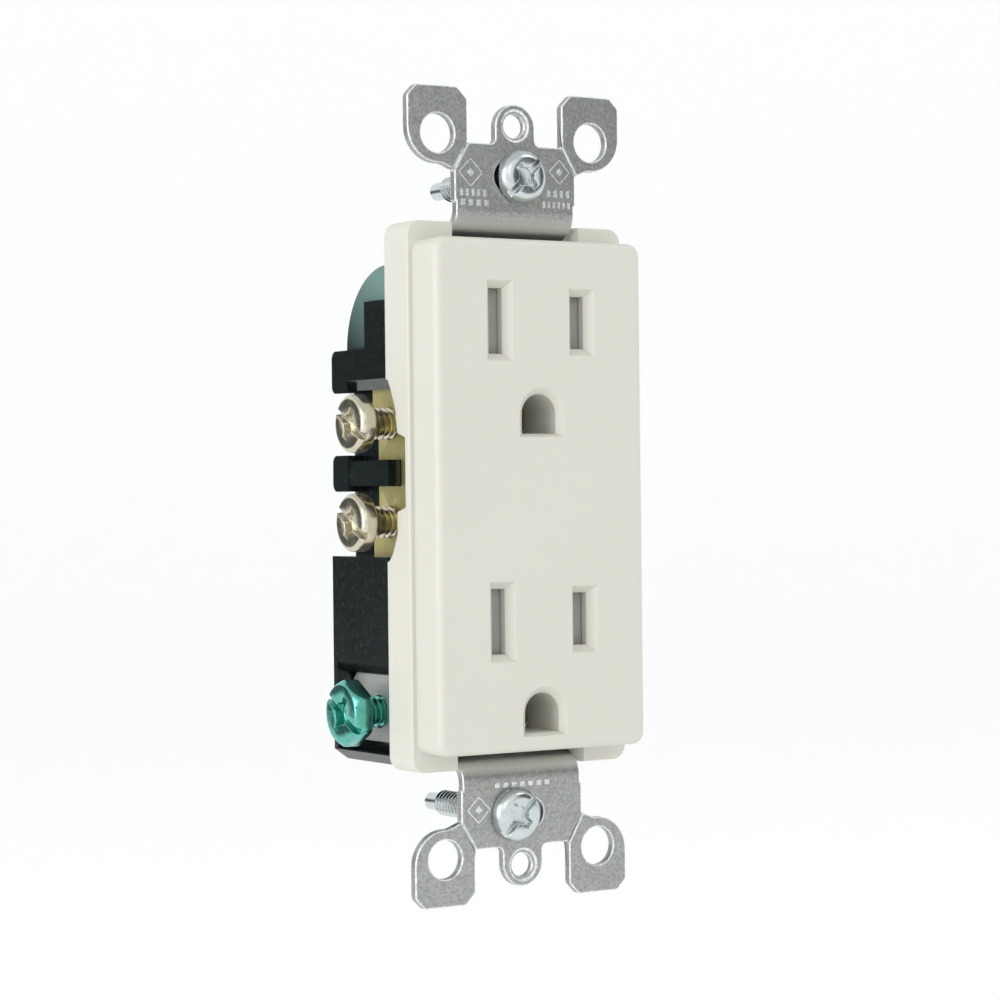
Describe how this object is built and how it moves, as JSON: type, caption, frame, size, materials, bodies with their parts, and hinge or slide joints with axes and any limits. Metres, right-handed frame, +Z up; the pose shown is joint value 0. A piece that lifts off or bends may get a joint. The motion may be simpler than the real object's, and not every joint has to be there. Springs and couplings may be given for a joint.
{
  "type": "duplex wall outlet",
  "caption": "Rectangular-face duplex wall receptacle with blade slots, grounding holes, plaster-ear strap, side terminal screws and a black back body",
  "frame": {"origin": "centre of the back plane of the strap's ears, which rests on the wall or box", "axes": "+X right seen from the front, +Y into the wall, +Z up; the face looks along -Y"},
  "size_m": [0.0414, 0.0262, 0.106],
  "materials": {
    "cover_plastic": "satin moulded thermoplastic, warm grey-white",
    "body_plastic": "glossy black thermoplastic",
    "zinc_strap": "galvanised steel, matt grey",
    "contact_brass": "rolled brass strip",
    "rivet_steel": "plated steel",
    "shutter_plastic": "grey moulded thermoplastic",
    "guide_plastic": "natural moulded thermoplastic",
    "spring_steel": "spring steel",
    "zinc_screw": "zinc-plated steel",
    "fibre": "black vulcanised fibre",
    "nickel_screw": "nickel-plated steel",
    "brass_screw": "brass",
    "green_screw": "green-dyed plated steel"
  },
  "bodies": {
    "housing": {"front_cover": "cover_plastic", "back_body": "body_plastic", "mounting_strap": "zinc_strap", "neutral_contact": "contact_brass", "hot_contact": "contact_brass", "ground_contact_upper": "contact_brass", "ground_contact_lower": "contact_brass", "contact_rivet_upper": "rivet_steel", "contact_rivet_lower": "rivet_steel", "contact_separator": "guide_plastic", "shutter_guide_upper": "guide_plastic", "shutter_guide_lower": "guide_plastic", "shutter_spring_upper": "spring_steel", "shutter_spring_lower": "spring_steel", "assembly_screw_left_upper": "zinc_screw", "assembly_screw_left_lower": "zinc_screw", "assembly_screw_right_upper": "zinc_screw", "assembly_screw_right_lower": "zinc_screw"},
    "shutter_upper": {"shutter_upper": "shutter_plastic"},
    "shutter_lower": {"shutter_lower": "shutter_plastic"},
    "captive_washer_top": {"captive_washer_top": "fibre"},
    "captive_washer_bottom": {"captive_washer_bottom": "fibre"},
    "mounting_screw_top": {"mounting_screw_top": "zinc_screw"},
    "mounting_screw_bottom": {"mounting_screw_bottom": "zinc_screw"},
    "neutral_screw_upper": {"neutral_screw_upper": "nickel_screw"},
    "neutral_screw_lower": {"neutral_screw_lower": "nickel_screw"},
    "hot_screw_upper": {"hot_screw_upper": "brass_screw"},
    "hot_screw_lower": {"hot_screw_lower": "brass_screw"},
    "ground_screw": {"ground_screw": "green_screw"}
  },
  "joints": [
    {"name": "shutter_upper_slide", "type": "slide", "parent": "housing", "child": "shutter_upper", "axis": [1, 0, 0], "range_m": [0, 0.0027], "stiffness_N_per_m": 60, "springref_m": -0.0008, "deforming": ["shutter_spring_upper"]},
    {"name": "shutter_lower_slide", "type": "slide", "parent": "housing", "child": "shutter_lower", "axis": [1, 0, 0], "range_m": [0, 0.0027], "stiffness_N_per_m": 60, "springref_m": -0.0008, "deforming": ["shutter_spring_lower"]},
    {"name": "box_screw_top_shift", "type": "slide", "parent": "housing", "child": "captive_washer_top", "axis": [1, 0, 0], "range_m": [-0.002, 0.0009]},
    {"name": "box_screw_top_turn", "type": "hinge", "parent": "captive_washer_top", "child": "mounting_screw_top", "pos_m": [0.00055, 0, 0.04167], "axis": [0, 1, 0], "continuous": true},
    {"name": "box_screw_bottom_shift", "type": "slide", "parent": "housing", "child": "captive_washer_bottom", "axis": [1, 0, 0], "range_m": [-0.0001, 0.0029]},
    {"name": "box_screw_bottom_turn", "type": "hinge", "parent": "captive_washer_bottom", "child": "mounting_screw_bottom", "pos_m": [-0.0014, 0, -0.04167], "axis": [0, 1, 0], "continuous": true},
    {"name": "neutral_screw_upper_drive", "type": "slide", "parent": "housing", "child": "neutral_screw_upper", "axis": [1, 0, 0], "range_m": [0, 0.0039]},
    {"name": "neutral_screw_lower_drive", "type": "slide", "parent": "housing", "child": "neutral_screw_lower", "axis": [1, 0, 0], "range_m": [0, 0.0039]},
    {"name": "hot_screw_upper_drive", "type": "slide", "parent": "housing", "child": "hot_screw_upper", "axis": [-1, 0, 0], "range_m": [0, 0.0039]},
    {"name": "hot_screw_lower_drive", "type": "slide", "parent": "housing", "child": "hot_screw_lower", "axis": [-1, 0, 0], "range_m": [0, 0.0039]},
    {"name": "ground_screw_drive", "type": "slide", "parent": "housing", "child": "ground_screw", "axis": [1, 0, 0], "range_m": [0, 0.0031]}
  ]
}
